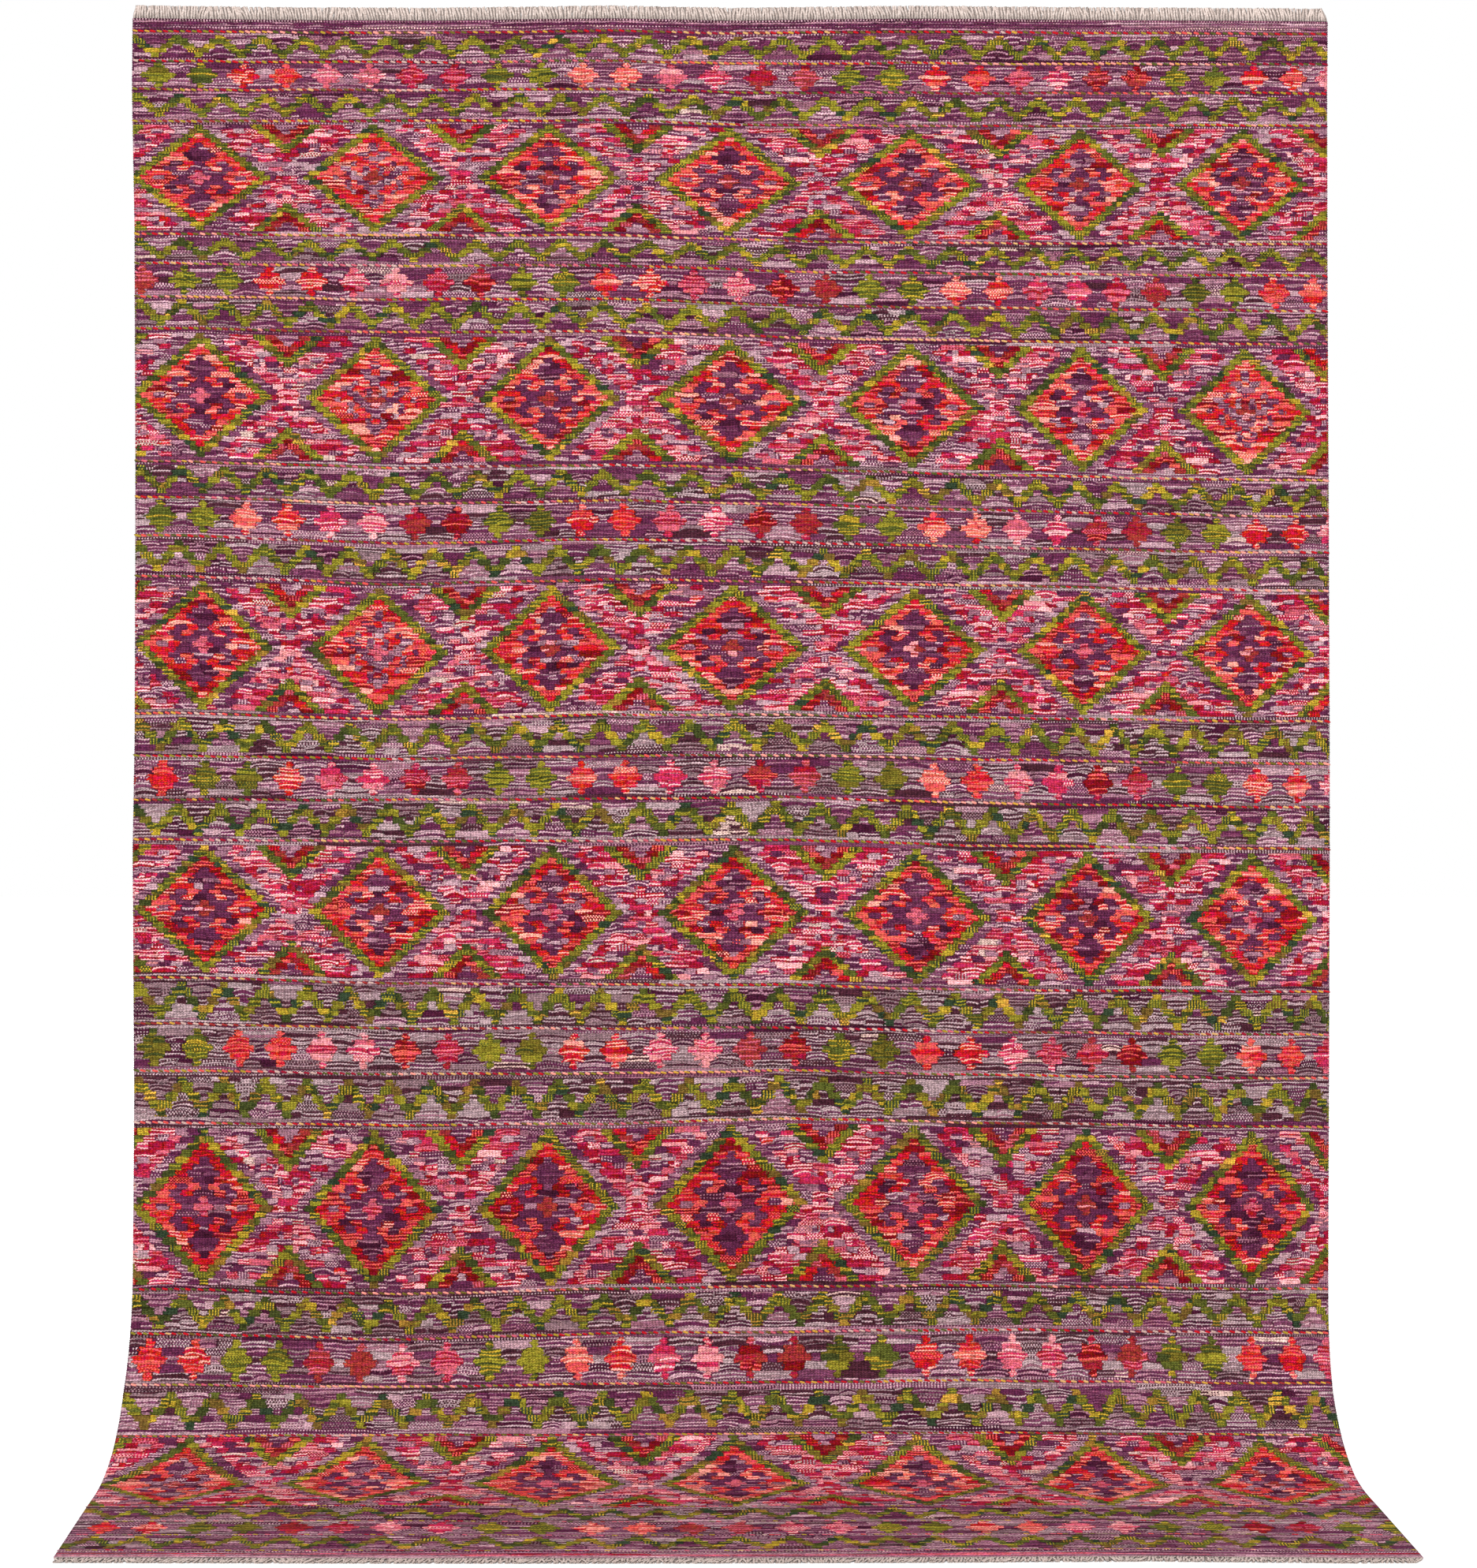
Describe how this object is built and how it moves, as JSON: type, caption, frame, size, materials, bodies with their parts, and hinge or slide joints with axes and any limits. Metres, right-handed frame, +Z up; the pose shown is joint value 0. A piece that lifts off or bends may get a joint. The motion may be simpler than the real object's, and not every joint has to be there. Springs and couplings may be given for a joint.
{
  "type": "kilim rug",
  "caption": "Flat-woven wool kilim with stepped diamond bands and short fringes, held by its top edge with its foot swept forward onto the floor.",
  "frame": {"origin": "middle of the woven top edge, in the middle of the cloth's thickness", "axes": "+Z up along the hanging cloth, +X across the rug to the viewer's right, -Y towards the viewer, the way the foot sweeps"},
  "size_m": [2.0155, 0.7017, 2.4111],
  "materials": {
    "wool_tapestry": "matte hand-spun dyed wool, weft-faced slit tapestry",
    "warp_ends": "matte undyed plied warp yarn, cut ends"
  },
  "bodies": {
    "root": {"woven_cloth": "wool_tapestry", "top_fringe": "warp_ends", "foot_fringe": "warp_ends"}
  },
  "joints": []
}
